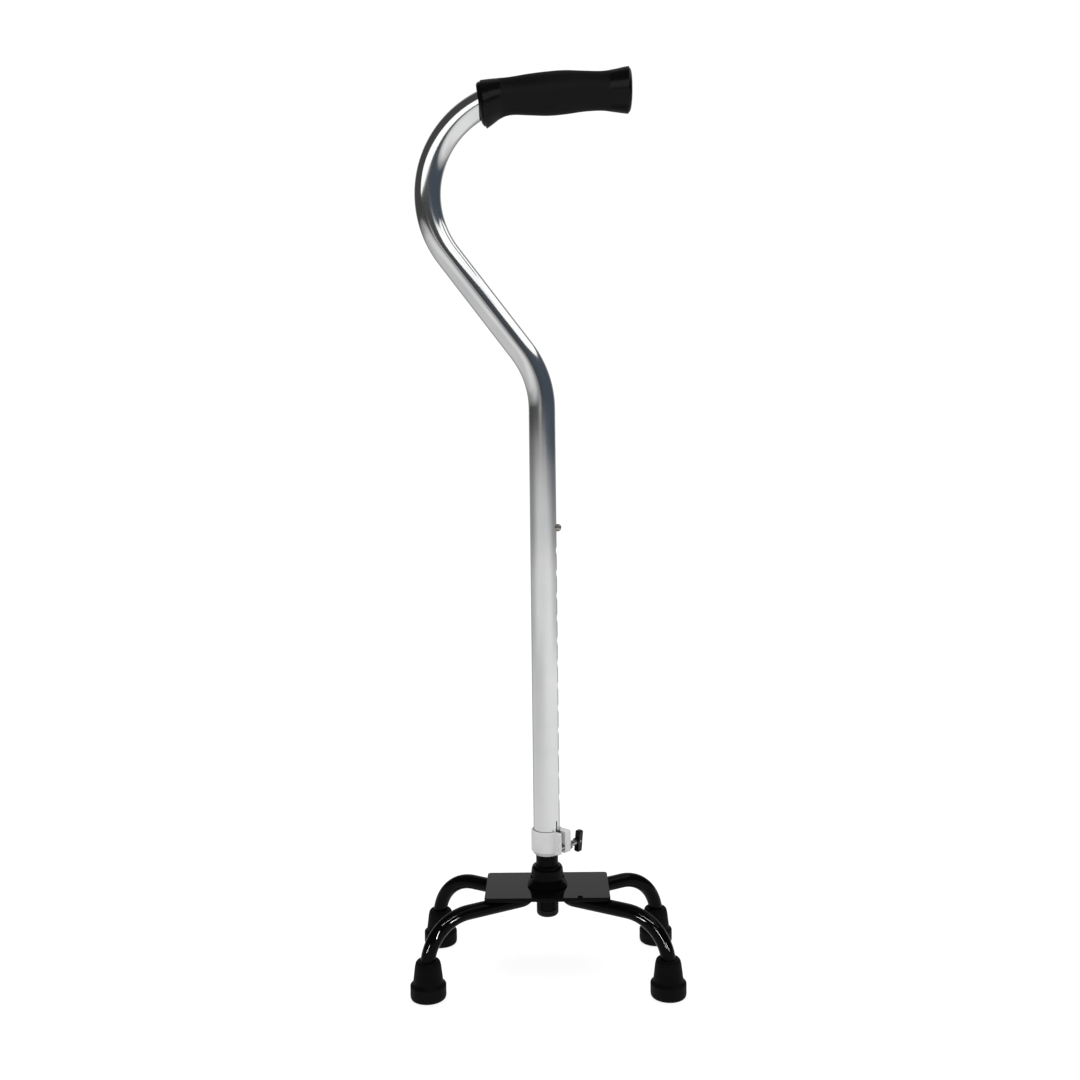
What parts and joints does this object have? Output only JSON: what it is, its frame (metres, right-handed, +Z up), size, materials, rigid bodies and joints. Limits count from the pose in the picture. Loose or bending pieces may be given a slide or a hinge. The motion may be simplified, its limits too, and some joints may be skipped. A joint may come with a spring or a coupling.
{
  "type": "quad walking cane",
  "caption": "Walking cane with an offset handle, a sliding shaft set by a snap button and clamp, and a small four-legged base on rubber tips.",
  "frame": {"origin": "on the floor, under the axis of the shaft, at the middle of the footprint", "axes": "+Z up along the shaft, +X the way the handle opens, -Y the front"},
  "size_m": [0.222, 0.134, 0.7569],
  "materials": {
    "anodised_tube": "bright satin anodised",
    "grip": "moulded, fine grain, smooth end bands",
    "black_plastic": "moulded, satin",
    "collar": "cast, light grey paint",
    "zinc_steel": "zinc plated",
    "black_tube": "black, satin",
    "nickel": "nickel plated, worn",
    "black_enamel": "gloss enamel",
    "tip_rubber": "matte moulded rubber"
  },
  "bodies": {
    "base": {"inner_tube": "black_tube", "post_end_plug": "black_plastic", "button_spring": "zinc_steel", "base_plate": "black_enamel", "socket_hub": "black_enamel", "leg_bow_left": "black_enamel", "leg_bow_right": "black_enamel", "foot_tip_front_left": "tip_rubber", "foot_tip_front_right": "tip_rubber", "foot_tip_rear_left": "tip_rubber", "foot_tip_rear_right": "tip_rubber", "tip_washer_front_left": "zinc_steel", "tip_washer_front_right": "zinc_steel", "tip_washer_rear_left": "zinc_steel", "tip_washer_rear_right": "zinc_steel"},
    "snap_button": {"snap_button": "nickel"},
    "handle": {"handle_tube": "anodised_tube", "hand_grip": "grip", "tube_end_plug": "black_plastic", "locking_collar": "collar"},
    "thumbscrew_shank": {"thumbscrew_shank": "zinc_steel"},
    "thumbscrew_knob": {"thumbscrew_knob": "black_plastic"}
  },
  "joints": [
    {"name": "height_adjust", "type": "slide", "parent": "base", "child": "handle", "axis": [0, 0, 1], "range_m": [0, 0.2286]},
    {"name": "button_press", "type": "slide", "parent": "base", "child": "snap_button", "axis": [-1, 0, 0], "range_m": [0, 0.0058], "stiffness_N_per_m": 800, "springref_m": -0.004, "deforming": ["button_spring"]},
    {"name": "thumbscrew_travel", "type": "slide", "parent": "handle", "child": "thumbscrew_shank", "axis": [0.6428, 0.766, 0], "range_m": [0, 0.0016]},
    {"name": "thumbscrew_turn", "type": "hinge", "parent": "thumbscrew_shank", "child": "thumbscrew_knob", "pos_m": [0.01157, -0.00971, 0.1062], "axis": [0.6428, 0.766, 0], "range_deg": [0, 720]}
  ],
  "couplings": [
    {"joint": "thumbscrew_turn", "follows": "thumbscrew_travel", "rad_per_m": 7853.9}
  ]
}
